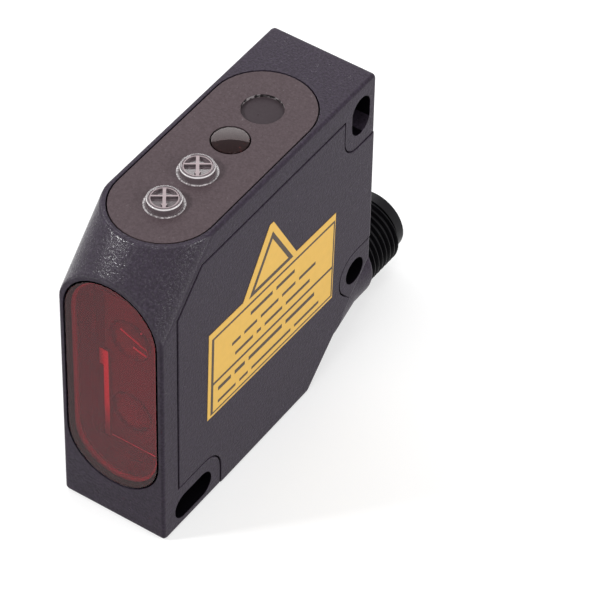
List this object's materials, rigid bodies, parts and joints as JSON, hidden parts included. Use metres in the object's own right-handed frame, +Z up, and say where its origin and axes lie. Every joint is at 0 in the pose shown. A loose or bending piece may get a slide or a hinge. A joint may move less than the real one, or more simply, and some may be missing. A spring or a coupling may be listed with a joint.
{
  "type": "laser displacement sensor",
  "caption": "Flat block optical distance sensor with a dark red front window, a hooded top edge, a control plate with turnable adjusters, slotted fixing holes and a swivelling round plug elbow.",
  "frame": {"origin": "centre of the flat base face, under the middle of the housing's width", "axes": "+Z up from the base, -Y the way the window looks, +Y towards the plug, +X towards the side cover"},
  "size_m": [0.0173, 0.0643, 0.0514],
  "materials": {
    "black_glass_filled_plastic": "fine moulded grain",
    "black_plate_plastic": "satin",
    "black_rubber": "matt",
    "red_acrylic": "polished",
    "clear_polycarbonate": "polished",
    "smoked_lens": "polished",
    "optical_glass": "polished",
    "brass": "machined",
    "steel": "bright",
    "gold_plate": "plated",
    "board_laminate": "solder mask",
    "chip_resin": "matt",
    "black_nylon": "satin",
    "lamp_resin": "cast",
    "grey_pvc": "satin",
    "yellow_vinyl": "satin film"
  },
  "bodies": {
    "sensor": {"housing": "black_glass_filled_plastic", "side_cover": "black_glass_filled_plastic", "front_window": "red_acrylic", "window_seal": "black_rubber", "control_plate": "black_plate_plastic", "front_adjuster_trimmer": "black_nylon", "rear_adjuster_trimmer": "black_nylon", "indicator_lens": "smoked_lens", "indicator_lamp": "lamp_resin", "control_board": "board_laminate", "main_board": "board_laminate", "processor_chip": "chip_resin", "output_driver": "chip_resin", "supply_capacitor": "steel", "board_header": "black_nylon", "lead_socket": "black_nylon", "optics_bench": "black_nylon", "emitter_lens": "optical_glass", "receiver_lens": "optical_glass", "laser_barrel": "brass", "laser_diode": "steel", "light_detector": "chip_resin", "detector_board": "board_laminate", "side_label": "yellow_vinyl"},
    "front_adjuster": {"front_adjuster_knob": "clear_polycarbonate", "front_adjuster_rotor": "brass"},
    "rear_adjuster": {"rear_adjuster_knob": "clear_polycarbonate", "rear_adjuster_rotor": "brass"},
    "connector": {"plug_elbow": "black_glass_filled_plastic", "swivel_seal": "black_rubber", "retaining_clip": "steel", "threaded_sleeve": "black_nylon", "contact_carrier": "black_nylon", "contact_pin_1": "gold_plate", "contact_pin_2": "gold_plate", "contact_pin_3": "gold_plate", "contact_pin_4": "gold_plate", "lead_bundle": "grey_pvc"}
  },
  "joints": [
    {"name": "front_adjuster_turn", "type": "hinge", "parent": "sensor", "child": "front_adjuster", "pos_m": [0, -0.005, 0.05], "axis": [0, 0, 1], "range_deg": [-170, 100]},
    {"name": "rear_adjuster_turn", "type": "hinge", "parent": "sensor", "child": "rear_adjuster", "pos_m": [0, 0.0025, 0.05], "axis": [0, 0, 1], "range_deg": [-170, 100]},
    {"name": "connector_swivel", "type": "hinge", "parent": "sensor", "child": "connector", "pos_m": [0, 0.025, 0.0075], "axis": [0, 0.7071, -0.7071], "range_deg": [-90, 180]}
  ]
}
